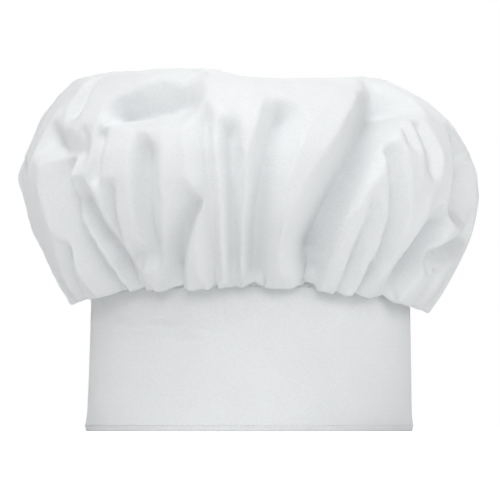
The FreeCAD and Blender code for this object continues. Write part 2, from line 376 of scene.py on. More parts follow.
def fold_depth(points, angle):
    """How deep each point is pressed in: as deep as the deepest of the folds that reach it."""
    round_way = degrees_from_front(angle)
    height = points[:, 2] / MM
    radius = np.hypot(points[:, 0], points[:, 1]) / MM
    valleys = np.zeros(len(points))
    unroll = UNROLL_RADIUS * math.pi / 180
    for deep, left, right, path in FRONT_FOLDS + side_folds():
        middle = path[len(path) // 2][0]
        at = np.stack([((round_way - middle + 180) % 360 - 180 + middle) * unroll, height], axis=1)
        distance, side, along = distance_to_path(at, [(a * unroll, h) for a, h in path])
        width = np.where(side > 0, width_along(left, along), width_along(right, along))
        flank = np.clip(1 - (np.sqrt(distance**2 + FOLD_ROUNDING**2) - FOLD_ROUNDING) / width, 0, 1)
        # a straight flank that eases out where it meets the crown's own surface
        flank = (1 + FOLD_EASE) * flank**2 / (flank + FOLD_EASE)
        ends = smooth_step((1.0 - along) / FOLD_END_FADE)
        if path[0][1] > FOOT_OF_FOLDS:
            ends = ends * smooth_step((along + 0.02) / FOLD_START_FADE)
        valleys = np.maximum(valleys, FOLD_SCALE * deep * ends * flank)
    above_lip = smooth_step((height - LIP_FOLD_HEIGHT) / LIP_FOLD_FADE)
    on_side = smooth_step((radius - PLAIN_TOP_RADIUS) / PLAIN_TOP_FADE)
    return valleys * on_side * (LIP_FOLD_SHARE + (1 - LIP_FOLD_SHARE) * above_lip) * MM


def lean(angle, height):
    """How far the band's layers lean in from the frame's cylinder: most at the top and on the left."""
    share = height / BAND_TOP
    dents = 0.22 * np.sin(5 * angle + 2.0) * np.sin(math.pi * share) + 0.15 * np.sin(9 * angle) * share
    return MM * (dents - (1.6 - 0.9 * np.cos(angle)) * share**0.7)


def gathers(share, angle):
    """Small uneven pleats beside the seam: how far each point stands out, in metres."""
    uneven = 2.2 * np.sin(angle * 7 + 1) + 1.5 * np.sin(angle * 13 + 4) + 0.8 * np.sin(angle * 29)
    size = 1.3 + 0.5 * np.sin(angle * 11 + 2)
    return MM * size * smooth_step((share - 0.89) / 0.06) * np.sin(angle * PLEATS + uneven)


def folded_shape(rings):
    """The disc at this fineness, and the filled crown's points with the folds pressed in."""
    disc = disc_mesh(rings)
    ring, angle, _ = disc
    share = ring / rings
    filled = filled_shape(share, angle)
    away = filled - np.array(CROWN_MIDDLE)
    away /= np.linalg.norm(away, axis=1)[:, None]
    free = 1 - smooth_step((share - FOLDS_END_SHARE) / (SEAM_SHARE - FOLDS_END_SHARE))
    stand = (gathers(share, angle) - fold_depth(filled, angle)) * free
    leaning = lean(angle, BAND_TOP) * smooth_step((share - 0.9) / (FOLDS_END_SHARE - 0.9))
    return disc, filled + away * stand[:, None] + outward(angle) * leaning[:, None]


def edges_of(faces):
    """Every edge once."""
    sides = np.concatenate([faces[:, [0, 1]], faces[:, [1, 2]], faces[:, [2, 0]]])
    return np.unique(np.sort(sides, axis=1), axis=0)


def colour_edges(edges, point_count):
    """Groups of edges that share no point, so that one group can be moved at once."""
    used = [0] * point_count
    groups = {}
    for number, (a, b) in enumerate(edges.tolist()):
        taken = used[a] | used[b]
        colour = 0
        while taken >> colour & 1:
            colour += 1
        used[a] |= 1 << colour
        used[b] |= 1 << colour
        groups.setdefault(colour, []).append(number)
    return [np.array(groups[c]) for c in sorted(groups)]


def neighbour_table(rings):
    """Each point's six neighbours, chosen evenly: their mean on the flat disc is the point itself."""
    table = [np.arange(1, 7)[None, :]]
    for k in range(1, rings + 1):
        j = np.arange(6 * k)
        sector, i = j // k, j % k
        corner = i == 0
        around = [ring_start(k) + (j + step) % (6 * k) for step in (-1, 1)]
        if k == rings:
            table.append(np.stack(around * 3, axis=1))
            continue
        inner_count, outer_count = max(6 * (k - 1), 1), 6 * (k + 1)
        inner = [ring_start(k - 1) + (sector * (k - 1) + i + step) % inner_count for step in (-1, 0)]
        inner[0] = np.where(corner, inner[1], inner[0])
        outer = [ring_start(k + 1) + (sector * (k + 1) + i + step) % outer_count for step in (0, 1)]
        outer[0] = np.where(corner, ring_start(k + 1) + (sector * (k + 1) - 1) % outer_count, outer[0])
        table.append(np.stack(around + inner + outer, axis=1))
    return np.concatenate(table)


class Guide:
    """Pulls the cloth's smoothed shape towards a target's, and leaves folds smaller than its cells free."""

    def __init__(self, share, angle, rows, columns):
        u = share * rows
        v = angle / (2 * math.pi) * columns
        i, j = np.floor(u).astype(int), np.floor(v).astype(int)
        fu, fv = u - i, v - j
        self.cells = (rows + 2) * columns
        self.index = [(i + a) * columns + (j + b) % columns for a in (0, 1) for b in (0, 1)]
        self.weight = [(fu if a else 1 - fu) * (fv if b else 1 - fv) for a in (0, 1) for b in (0, 1)]
        self.total = sum(np.bincount(n, w, self.cells) for n, w in zip(self.index, self.weight)) + 1e-9

    def pull(self, gap):
        smooth = np.zeros_like(gap)
        for axis in range(3):
            mean = sum(np.bincount(n, w * gap[:, axis], self.cells) for n, w in zip(self.index, self.weight))
            mean /= self.total
            smooth[:, axis] = sum(w * mean[n] for n, w in zip(self.index, self.weight))
        return smooth


def close_pairs(points, reach, joined):
    """Pairs of points within reach of each other, found in a grid of cells, less those joined by cloth."""
    cell = np.floor(points / reach).astype(np.int64)
    cell -= cell.min(axis=0)
    size = cell.max(axis=0) + 3
    key = (cell[:, 0] * size[1] + cell[:, 1]) * size[2] + cell[:, 2]
    order = np.argsort(key, kind="stable")
    sorted_key = key[order]
    # a cell and half of its neighbours, so that each pair is met once
    sides = (-1, 0, 1)
    own = (0, 0, 0)
    shifts = [own] + [(x, y, z) for x in sides for y in sides for z in sides if (x, y, z) > own]
    found = []
    for x, y, z in shifts:
        other = key + (x * size[1] + y) * size[2] + z
        low = np.searchsorted(sorted_key, other, "left")
        high = np.searchsorted(sorted_key, other, "right")
        for k in range(int((high - low).max())):
            have = np.nonzero(low + k < high)[0]
            mate = order[low[have] + k]
            if (x, y, z) == own:
                keep = have < mate
                have, mate = have[keep], mate[keep]
            gap = points[have] - points[mate]
            near = (gap * gap).sum(axis=1) < reach * reach
            found.append(np.stack([have[near], mate[near]], axis=1))
    pairs = np.concatenate(found)
    return pairs[~joined(pairs)]


def cloth_lengths(folded, angle, edges):
    """Each edge's own length: as on the folded shape, and a little longer round the crown, for fullness."""
    a, b = edges.T
    middle = angle[a] + ((angle[b] - angle[a] + math.pi) % (2 * math.pi) - math.pi) / 2
    gap = folded[b] - folded[a]
    round_way = gap[:, 1] * np.cos(middle) - gap[:, 0] * np.sin(middle)
    others = np.maximum((gap * gap).sum(axis=1) - round_way**2, 0)
    return np.sqrt(others + (round_way * (1 + FULLNESS))**2)


def refine(points, rings):
    """The points of a disc with twice the rings: the old points and the middles of the old edges."""
    made = []
    for k in range(2 * rings + 1):
        j = np.arange(max(6 * k, 1))
        half = k // 2
        if k % 2 == 0:
            pair = [(half, j // 2), (half, (j + 1) // 2)]
        else:
            sector, i = j // k, j % k
            pair = [(half, sector * half + i // 2), (half + 1, sector * (half + 1) + (i + 1) // 2)]
        ends = [points[ring_start(n) + m % max(6 * n, 1)] for n, m in pair]
        made.append((ends[0] + ends[1]) / 2)
    return np.concatenate(made)


def shorten(points, groups):
    """Brings every edge to its own length, one group of edges at a time."""
    for p, q, length in groups:
        gap = points[q] - points[p]
        size = np.sqrt((gap * gap).sum(axis=1))
        move = gap * (0.5 * (size - length) / size)[:, None]
        points[p] += move
        points[q] -= move


def unbend(points, table, pinned):
    """Each point's move against bending: stiff where the cloth is nearly flat, soft where it is creased."""
    curl = points[table].mean(axis=1) - points
    curl[pinned] = 0
    curl /= 1 + (curl * curl).sum(axis=1)[:, None] / CREASE**2
    return BENDING * (curl[table].mean(axis=1) - curl)


def part_touching(points, pairs, touch):
    """Pushes apart the points that touch."""
    gap = points[pairs[:, 1]] - points[pairs[:, 0]]
    size = np.sqrt((gap * gap).sum(axis=1)) + 1e-9
    move = gap * (np.maximum(touch - size, 0) / size * 0.5)[:, None]
    for axis in range(3):
        for end, push in ((1, TOUCH_PUSH), (0, -TOUCH_PUSH)):
            points[:, axis] += np.bincount(pairs[:, end], move[:, axis], len(points)) * push


def keep_off_band(points, free):
    """Holds the overhang outside the headband."""
    radius = np.hypot(points[:, 0], points[:, 1])
    low = (points[:, 2] < BAND_TOP + BAND_GAP_TOP) & (radius < BAND_RADIUS + BAND_GAP) & free
    out = (BAND_RADIUS + BAND_GAP) / np.maximum(radius, 1e-6)
    points[low, :2] *= out[low, None]


def drape(disc, folded):
    """Settles the crown's cloth under its own lengths, bending stiffness, weight and touch.

    It starts on the folded shape, and is held to that shape's folds and overall form as it settles."""
    ring, angle, faces = disc
    rings = int(ring.max())
    share = ring / rings
    spacing = PATTERN_RADIUS / rings
    edges = edges_of(faces)
    rest = cloth_lengths(folded, angle, edges)
    groups = [(edges[g][:, 0], edges[g][:, 1], rest[g]) for g in colour_edges(edges, len(ring))]
    table = neighbour_table(rings)
    flat = np.stack([share * np.cos(angle), share * np.sin(angle)], axis=1) * PATTERN_RADIUS
    pinned = share >= SEAM_SHARE
    free = ~pinned
    folds = Guide(share, angle, *FOLD_CELLS)
    form = Guide(share, angle, *FORM_CELLS)
    touch = TOUCH * spacing

    def joined(pairs):
        apart = flat[pairs[:, 0]] - flat[pairs[:, 1]]
        return (apart * apart).sum(axis=1) < (JOINED * spacing)**2

    points = folded.copy()
    speed = np.zeros_like(points)
    fall = np.array([0, 0, -GRAVITY]) * STEP_TIME * STEP_TIME
    for step in range(DRAPE_STEPS):
        before = points.copy()
        points[free] += speed[free] * KEPT_SPEED + fall
        gap = folded - points
        points[free] += (FOLD_HOLD * folds.pull(gap) + FORM_HOLD * form.pull(gap))[free]
        shorten(points, groups)
        points[free] -= unbend(points, table, pinned)[free]
        if step % SEARCH_EVERY == 0:
            pairs = close_pairs(points, touch * TOUCH_REACH, joined)
        part_touching(points, pairs, touch)
        keep_off_band(points, free)
        points[pinned] = folded[pinned]
        speed = points - before
    return points


def crown_points():
    """The crown's cloth, settled: its points, and the disc they belong to."""
    disc, folded = folded_shape(RINGS)
    return drape(disc, folded), disc


def smoother(points, rings):
    """The cloth with twice the rings, rounded between its old points as Loop's subdivision does."""
    points = refine(points, rings)
    ring, angle, faces = disc_mesh(2 * rings)
    around = points[neighbour_table(2 * rings)].mean(axis=1)
    inner = ring < 2 * rings
    points[inner] = 0.25 * points[inner] + 0.75 * around[inner]
    return points, (ring, angle, faces)


# ---- meshes ----
def new_piece(name, points, faces):
    """A smooth-shaded mesh object in the row frame, in metres."""
    mesh = bpy.data.meshes.new(name)
    mesh.from_pydata([tuple(p) for p in points], [], [tuple(f) for f in faces])
    mesh.validate()
    mesh.update()
    mesh.polygons.foreach_set("use_smooth", [True] * len(mesh.polygons))
    piece = bpy.data.objects.new(name, mesh)
    bpy.context.scene.collection.objects.link(piece)
    return piece


def set_uv(piece, corner_uv):
    """Gives every corner of every face its pattern coordinates, in metres."""
    layer = piece.data.uv_layers.new(name="pattern")
    layer.data.foreach_set("uv", np.array(corner_uv, np.float32).ravel())


def dress(piece, material, slot, *nodes, body=None):
    """Gives a piece its material, puts it in place of frame nodes, and lets it ride on a body. The slot is
    not used.
    """
    piece.data.materials.append(material)
    if nodes:
        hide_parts(*nodes)
    if body:
        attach(piece, body)


# ---- materials ----
class Nodes:
    """A short way to build a material's nodes."""

    def __init__(self, name):
        self.material = bpy.data.materials.new(name)
        self.material.use_nodes = True
        self.tree = self.material.node_tree
        self.shader = self.tree.nodes["Principled BSDF"]

    def add(self, kind, settings=None, **inputs):
        node = self.tree.nodes.new("ShaderNode" + kind)
        for key, value in (settings or {}).items():
            setattr(node, key, value)
        for key, value in inputs.items():
            self.link(value, node.inputs[key.replace("_", " ")])
        return node

    def link(self, value, socket):
        if isinstance(value, bpy.types.NodeSocket):
            self.tree.links.new(value, socket)
        else:
            socket.default_value = value

    def maths(self, operation, a, b=0.0):
        node = self.add("Math", {"operation": operation})
        self.link(a, node.inputs[0])
        self.link(b, node.inputs[1])
        return node.outputs[0]

    def total(self, start, *terms):
        """start plus each (value, weight) term."""
        for value, weight in terms:
            start = self.maths("ADD", self.maths("MULTIPLY", value, weight), start)
        return start

    def place(self, kind):
        return self.add("TexCoord").outputs[kind]

    def parts(self, vector):
        split = self.add("SeparateXYZ", Vector=vector)
        return split.outputs["X"], split.outputs["Y"]

    def noise(self, place, scale, detail, roughness=0.5, distortion=0.0):
        return self.add("TexNoise", Vector=place, Scale=scale, Detail=detail, Roughness=roughness,
                        Distortion=distortion).outputs[0]

    def wave(self, value, pitch):
        return self.maths("SINE", self.maths("MULTIPLY", value, RING / pitch))

    def finish(self, tint, value, roughness, bump_height, bump_strength, bump_depth, under=None):
        """Links the colour, roughness and bump, over another bump where under is given."""
        colour = self.add("VectorMath", {"operation": "SCALE"}, Scale=value)
        self.link(tint, colour.inputs[0])
        self.link(colour.outputs[0], self.shader.inputs["Base Color"])
        self.link(roughness, self.shader.inputs["Roughness"])
        bump = self.add("Bump", Strength=bump_strength, Distance=bump_depth, Height=bump_height)
        if under:
            self.link(under, bump.inputs["Normal"])
        self.link(bump.outputs[0], self.shader.inputs["Normal"])
        return self.material


def cotton(name, crease_strength):
    """White plain-weave cotton: crossing yarns, uneven slubs along them, soft creases, a faint cool tint."""
    n = Nodes(name)
    place = n.place("UV")
    u, v = n.parts(place)
    weave = n.maths("MULTIPLY", n.wave(u, YARN_PITCH), n.wave(v, YARN_PITCH))
    # slubs: noise drawn out along each yarn direction
    along_u = n.add("Mapping", Vector=place, Scale=(420, 1500, 1)).outputs[0]
    along_v = n.add("Mapping", Vector=place, Scale=(1500, 460, 1)).outputs[0]
    slub = n.total(0.0, (n.noise(along_u, 1.0, 3.0), 0.65), (n.noise(along_v, 1.0, 3.0), 0.35))
    cloud = n.noise(place, 45.0, 4.0, 0.55)
    grain = n.noise(place, 620.0, 3.0, 0.7)
    value = n.total(0.825, (slub, 0.14), (cloud, 0.07), (grain, 0.14))
    creases = n.noise(place, 60.0, 5.0, 0.6, 0.6)
    soft = n.add("Bump", Strength=crease_strength, Distance=1.0 * MM, Height=creases).outputs[0]
    fine = n.total(slub, (weave, 0.25), (grain, 1.5))
    n.shader.inputs["Specular IOR Level"].default_value = 0.08
    n.shader.inputs["Sheen Weight"].default_value = 0.12
    n.shader.inputs["Sheen Roughness"].default_value = 0.5
    return n.finish(COTTON_TINT, value, n.total(0.88, (slub, 0.08)), fine, 0.75, 0.2 * MM, soft)


def thread_cotton():
    """White cotton thread: two strands twisted round each other, with a soft shine."""
    n = Nodes("thread_cotton")
    u, v = n.parts(n.place("UV"))
    twist = n.wave(n.maths("ADD", u, v), TWIST_PITCH)
    fibre = n.noise(n.place("Object"), 4000.0, 2.0)
    value = n.total(0.90, (fibre, 0.08), (twist, 0.03))
    n.shader.inputs["Sheen Weight"].default_value = 0.2
    return n.finish(COTTON_TINT, value, n.total(0.55, (fibre, 0.15)), twist, 0.5, 0.08 * MM)


def interlining_fibre():
    """Pressed fibre interlining: a matt felt of short fibres."""
    n = Nodes("interlining_fibre")
    place = n.place("Object")
    fibre = n.noise(place, 900.0, 6.0, 0.7, 1.5)
    value = n.total(0.80, (n.noise(place, 60.0, 3.0), 0.06), (fibre, 0.18))
    return n.finish(INTERLINING_TINT, value, n.total(0.82, (fibre, 0.1)), fibre, 0.6, 0.15 * MM)


def tape_nylon(name, tint):
    """White nylon tape: a close knitted ground with a slight gloss."""
    n = Nodes(name)
    place = n.place("Object")
    knit = n.add("TexVoronoi", Vector=place, Scale=1800.0).outputs[0]
    value = n.total(0.84, (n.noise(place, 150.0, 3.0), 0.08), (knit, 0.12))
    return n.finish(tint, value, n.total(0.42, (knit, 0.2)), knit, 0.5, 0.1 * MM)


def label_satin():
    """Blank white woven satin: fine ribs across, and a soft gloss."""
    n = Nodes("label_satin")
    place = n.place("UV")
    rib = n.wave(n.parts(place)[1], RIB_PITCH)
    cloud = n.noise(place, 200.0, 3.0)
    value = n.total(0.92, (cloud, 0.06), (rib, 0.02))
    return n.finish(LABEL_TINT, value, n.total(0.38, (cloud, 0.15)), rib, 0.4, 0.05 * MM)


# ---- the crown as a closed piece ----
def normals_of(points, faces):
    """Each point's unit normal, from the faces round it."""
    corners = points[faces]
    across = np.cross(corners[:, 1] - corners[:, 0], corners[:, 2] - corners[:, 0])
    total = np.zeros_like(points)
    for corner in range(3):
        for axis in range(3):
            total[:, axis] += np.bincount(faces[:, corner], across[:, axis], len(points))
    return total / np.linalg.norm(total, axis=1)[:, None]


def flange_row(radius, height, count):
    """A ring of points round the sewn edge, leaning in as the band does at its top."""
    angle = np.arange(count) * RING / count
    return about_axis(angle, radius + lean(angle, BAND_TOP), np.full(count, height))


def closed_cloth(points, disc, coarse_disc):
    """The cloth given thickness: an outer face, a flange let in between the band's layers, an inner face.

    The inner face is that of the coarse disc, with half as many points round its rim. Returns the points, the
    faces and the points' pattern coordinates."""
    ring, angle, faces = disc
    coarse_ring, coarse_angle, coarse_faces = coarse_disc
    rings = int(coarse_ring.max())
    spacing = PATTERN_RADIUS / rings
    rim, count = 6 * rings, 12 * rings
    same = np.concatenate([ring_start(2 * k) + 2 * np.arange(max(6 * k, 1)) for k in range(rings + 1)])
    inside = points[same] - CROWN_THICK * normals_of(points[same], coarse_faces)
    within, without = FLANGE_RADII
    inside[-rim:] = flange_row(within, BAND_TOP + FLANGE_TURN, rim)
    rows = [(without, BAND_TOP - FLANGE_TURN), (without, FLANGE_FOOT), (within, FLANGE_FOOT)]
    every = [tuple(f) for f in faces]
    above, start = len(points) - count, len(points)
    step = np.arange(count)
    after = (step + 1) % count
    for _ in rows:
        every += list(zip(above + step, start + step, start + after, above + after))
        above, start = start, start + count
    inner = start + len(inside) - rim
    for i in range(rim):
        low, middle, low_next = above + 2 * i, above + 2 * i + 1, above + (2 * i + 2) % count
        high, high_next = inner + i, inner + (i + 1) % rim
        every += [(low, high, middle), (middle, high, high_next), (middle, high_next, low_next)]
    every += [(start + a, start + c, start + b) for a, b, c in coarse_faces.tolist()]
    out = [ring * spacing / 2] + [np.full(count, PATTERN_RADIUS + 4 * MM * (n + 1)) for n in range(len(rows))]
    out = np.concatenate(out + [coarse_ring * spacing])
    turn = np.concatenate([angle] + [step * RING / count] * len(rows) + [coarse_angle])
    uv = np.stack([out * np.cos(turn), out * np.sin(turn)], axis=1)
    return np.concatenate([points] + [flange_row(*row, count) for row in rows] + [inside]), every, uv


def make_crown():
    """The crown's one piece, in place of the frame's crown and gathered neck."""
    points, disc = crown_points()
    points, fine_disc = smoother(points, RINGS)
    points, faces, uv = closed_cloth(points, fine_disc, disc)
    piece = new_piece("crown_cloth", points, faces)
    corner_point = np.zeros(len(piece.data.loops), int)
    piece.data.loops.foreach_get("vertex_index", corner_point)
    set_uv(piece, uv[corner_point])
    dress(piece, cotton("crown_cotton", 0.5), "crown_cloth", "crown", "gathered_neck")
    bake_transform(piece)


# ---- the headband's form ----
def on_band(angle, radius, height):
    """Points at angles in radians, and at radii and heights in metres, moved as the band's cloth lies."""
    angle, radius, height = np.broadcast_arrays(angle, radius, height)
    return about_axis(angle, radius + lean(angle, height), height)


def tab_rise(angle):
    """How far the tab stands off the band's own radius, as it climbs onto the underlap."""
    return TAB_STEP * smooth_step((angle - TAB_START) / (UNDERLAP_END - TAB_START))


def tab_height(angle, height):
    """Pulls heights in near the tab's free end, so that its two corners are round."""
    to_tip = np.clip((TAB_TIP - angle) * TAB_RADIUS, 0, TAB_CORNER)
    pull = TAB_CORNER - np.sqrt(TAB_CORNER**2 - (TAB_CORNER - to_tip)**2)
    middle = TAB_TOP / 2
    return middle + (height - middle) * (1 - pull / middle)


def on_tab(angle, radius, height):
    """As on_band, but for the tab, which climbs onto the underlap and has round corners."""
    angle, radius, height = np.broadcast_arrays(angle, radius, height)
    return on_band(angle, radius + tab_rise(angle), tab_height(angle, height))


def wrinkled(angle, radius, height):
    """As on_band, with the soft crease that runs across the front left of the band's outer cloth."""
    points = on_band(angle, radius, height)
    angle, height = np.broadcast_arrays(angle, height)
    f = degrees_from_front(angle)
    share = (f - WRINKLE_FROM) / (WRINKLE_TO - WRINKLE_FROM)
    centre = WRINKLE_HEIGHT - WRINKLE_DROP * np.clip(share, 0, 1)**1.4 + 0.8 * MM * np.sin(f * 0.35)
    off = (height - centre) / MM
    fade = smooth_step(share / 0.25) * smooth_step((1 - share) / 0.3)
    second_fade = smooth_step((share - 0.1) / 0.3) * smooth_step((0.75 - share) / 0.3)
    raised = 2.2 * np.exp(-(off / 2.4)**2) + 0.5 * np.exp(-((off + 9.0) / 3.4)**2)
    second = 0.6 * np.exp(-((off - 5.5) / 2.0)**2) * second_fade
    return points + outward(angle) * (MM * fade * (raised + second))[..., None]


# ---- strips of cloth ----
def half_turn(centre, radius, start, steps=5):
    """Points round half a circle in the section plane, starting at an angle in degrees and turning left."""
    at = [(start + 180 * i / steps) * DEGREE for i in range(steps + 1)]
    return [(centre[0] + radius * math.cos(t), centre[1] + radius * math.sin(t)) for t in at]


def strip_section(radii, heights):
    """The closed section of a strip with rounded edges: up the outside, over, down the inside and under."""
    inner, outer = radii
    low, high = heights
    round_off = (outer - inner) / 2
    middle = (inner + outer) / 2
    rows = max(2, round((high - low) / CLOTH_ROW))
    levels = np.linspace(low + round_off, high - round_off, rows + 1)[1:-1]
    over = half_turn((middle, high - round_off), round_off, 0)
    under = half_turn((middle, low + round_off), round_off, 180)
    return [(outer, z) for z in levels] + over + [(inner, z) for z in levels[::-1]] + under


def sweep(name, section, angles, place):
    """A closed strip of cloth: a section of (radius, height) points carried through angles in radians."""
    section = np.array(section)
    n = len(section)
    points = place(angles[:, None], section[None, :, 0], section[None, :, 1]).reshape(-1, 3)
    sides = np.linalg.norm(np.roll(section, -1, axis=0) - section, axis=1)
    runs = np.concatenate([[0], np.cumsum(sides)])
    across = angles * section[:, 0].mean()
    faces, uv = [], []
    for i in range(len(angles) - 1):
        for j in range(n):
            k = (j + 1) % n
            faces.append((i * n + j, (i + 1) * n + j, (i + 1) * n + k, i * n + k))
            uv += [(across[i], runs[j]), (across[i + 1], runs[j])]
            uv += [(across[i + 1], runs[j + 1]), (across[i], runs[j + 1])]
    first = list(range(n))
    last = [(len(angles) - 1) * n + j for j in first]
    faces += [first, last[::-1]]
    uv += section.tolist() + section[::-1].tolist()
    piece = new_piece(name, points, faces)
    set_uv(piece, uv)
    return piece


def angle_steps(start, end, step=1.0 * DEGREE):
    """Even angles from start to end, about a step apart."""
    return np.linspace(start, end, max(2, round((end - start) / step)) + 1)


def box_angles(node):
    """The angles of the two ends of a node at the back, from its outer radius and how far it reaches."""
    low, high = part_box(node)
    return math.acos(high.x / high.y), math.acos(low.x / high.y)


def box_heights(node):
    return [corner.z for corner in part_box(node)]


def middle_height(node):
    return sum(box_heights(node)) / 2


def hem_section():
    """The outer cloth's section: a turned-up hem at the foot, then a single ply to a folded top edge."""
    inner, outer = BAND_RADIUS - OUTER_THICK, BAND_RADIUS
    inmost = CORE_OUTER - CORE_THICK
    section = []
    for t in np.linspace(0, 90, 8) * DEGREE:
        section.append((outer + HEM_SWELL - HEM_DEPTH * (1 - math.sin(t)), HEM_BELLY * (1 - math.cos(t))))
    for z in np.linspace(HEM_BELLY, HEM_TOP, 7)[1:]:
        ease = 0.5 + 0.5 * math.cos(math.pi * (z - HEM_BELLY) / (HEM_TOP - HEM_BELLY))
        section.append((outer + HEM_SWELL * ease, z))
    section += [(outer, z) for z in np.arange(HEM_TOP, BAND_TOP - OUTER_THICK, CLOTH_ROW)[1:]]
    section += half_turn(((inner + outer) / 2, BAND_TOP - OUTER_THICK / 2), OUTER_THICK / 2, 0)
    section += [(inner, z) for z in np.arange(BAND_TOP - 2 * CLOTH_ROW, HEM_PLY_TOP, -CLOTH_ROW)]
    # the hem's inner ply, turned in under the interlining's foot
    section += [(inner, 5.2 * MM), (inner - 0.3 * MM, 4.2 * MM), (inmost, 3.6 * MM), (inmost, 1.2 * MM)]
    return section


# ---- pieces of the band and the tab ----
def make_band_cloth(cloth, felt):
    """The band's outer cloth, lining and interlining, from the underlap's end round to the tab's seam."""
    span = angle_steps(UNDERLAP_END, RING + TAB_SEAM)
    lining = strip_section((TAB_INSIDE, LINING_OUTER), (LINING_FOOT, BAND_TOP))
    core = strip_section((CORE_OUTER - CORE_THICK, CORE_OUTER), box_heights("band_stiffener"))
    for name, node, section, place, material, slot in (
            ("band_cloth", "band_outer", hem_section(), wrinkled, cloth, "band_cloth"),
            ("band_lining_cloth", "band_lining", lining, on_band, cloth, "band_cloth"),
            ("band_interlining", "band_stiffener", core, on_band, felt, "interlining")):
        dress(sweep(name, section, span, place), material, slot, node, body="band")


def make_tab_cloth(cloth, felt):
    """The tab's two plies, which bend at its root, and its interlining, which starts beyond the bend."""
    corner_start = TAB_TIP - TAB_CORNER / TAB_RADIUS
    corner = TAB_TIP - TAB_CORNER / TAB_RADIUS * np.cos(np.linspace(0, 90, 10) * DEGREE)
    span = np.concatenate([angle_steps(TAB_SEAM, corner_start, 0.7 * DEGREE)[:-1], corner])
    plies = (("tab_cloth", "tab_outer", (BAND_RADIUS - OUTER_THICK, BAND_RADIUS)),
             ("tab_lining_cloth", "tab_lining", (TAB_INSIDE, LINING_OUTER)))
    for name, node, radii in plies:
        ply = sweep(name, strip_section(radii, (TAB_FOOT, TAB_TOP)), span, on_tab)
        dress(ply, cloth, "band_cloth", node)
        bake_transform(ply)
    core_span = angle_steps(HINGE + BEND_HALF + 0.5 * DEGREE, TAB_TIP - TAB_CORE_MARGIN / TAB_RADIUS)
    core_heights = (2 * TAB_CORE_MARGIN, TAB_TOP - 2 * TAB_CORE_MARGIN)
    core_section = strip_section((CORE_OUTER - CORE_THICK, CORE_OUTER), core_heights)
    core = sweep("tab_interlining", core_section, core_span, on_tab)
    dress(core, felt, "interlining", "tab_stiffener", body="closure_tab")


def tube_faces(start, rings, sides):
    """The faces of a closed tube: rings of points numbered on from start, and a cap at each end."""
    faces = []
    for j in range(rings - 1):
        low = start + j * sides
        for k in range(sides):
            after = (k + 1) % sides
            faces.append((low + k, low + after, low + sides + after, low + sides + k))
    first = list(range(start, start + sides))
    return faces + [first[::-1], [p + (rings - 1) * sides for p in first]]


def stitch_uv(length):
    """The pattern coordinates of the corners of one stitch's faces."""
    uv = []
    for low, high in zip(STITCH_SHARES[:-1] * length, STITCH_SHARES[1:] * length):
        for k in range(STITCH_SIDES):
            near, far = k * STITCH_WIDTH / 2, (k + 1) * STITCH_WIDTH / 2
            uv += [(low, near), (low, far), (high, far), (high, near)]
    return uv + [(0, 0)] * (2 * STITCH_SIDES)


def stitches(name, legs, radius, place, length=STITCH_LENGTH, pitch=STITCH_PITCH):
    """Single stitches along a path of (angle, height) corners, each an arched capsule, a little askew."""
    around = np.arange(STITCH_SIDES) * RING / STITCH_SIDES
    out = STITCH_ARCH[:, None] + STITCH_THICKNESS[:, None] * np.sin(around)
    aside = STITCH_THICKNESS[:, None] * np.cos(around)
    reach = (STITCH_SHARES - 0.5) * length
    points, faces, uv = [], [], []
    for (a0, z0), (a1, z1) in zip(legs[:-1], legs[1:]):
        across, up = (a1 - a0) * radius, z1 - z0
        run = math.hypot(across, up)
        along = np.array([across, up]) / run
        side = np.array([-along[1], along[0]])
        count = max(1, round(run / pitch))
        for i in range(count):
            core = np.outer((i + 0.5) / count * run + reach, along) + np.outer(STITCH_SLANT * reach, side)
            a = a0 + (core[:, :1] + aside * side[0]) / radius
            z = z0 + core[:, 1:] + aside * side[1]
            faces += tube_faces(len(points), len(STITCH_SHARES), STITCH_SIDES)
            points.extend(place(a, radius + out, z).reshape(-1, 3))
            uv += stitch_uv(length)
    piece = new_piece(name, points, faces)
    set_uv(piece, uv)
    return piece


def frame_path(node):
    """The corners of a node's closed rectangle of stitching."""
    (a, b), (low, high) = box_angles(node), box_heights(node)
    return [(a, low), (b, low), (b, high), (a, high), (a, low)]


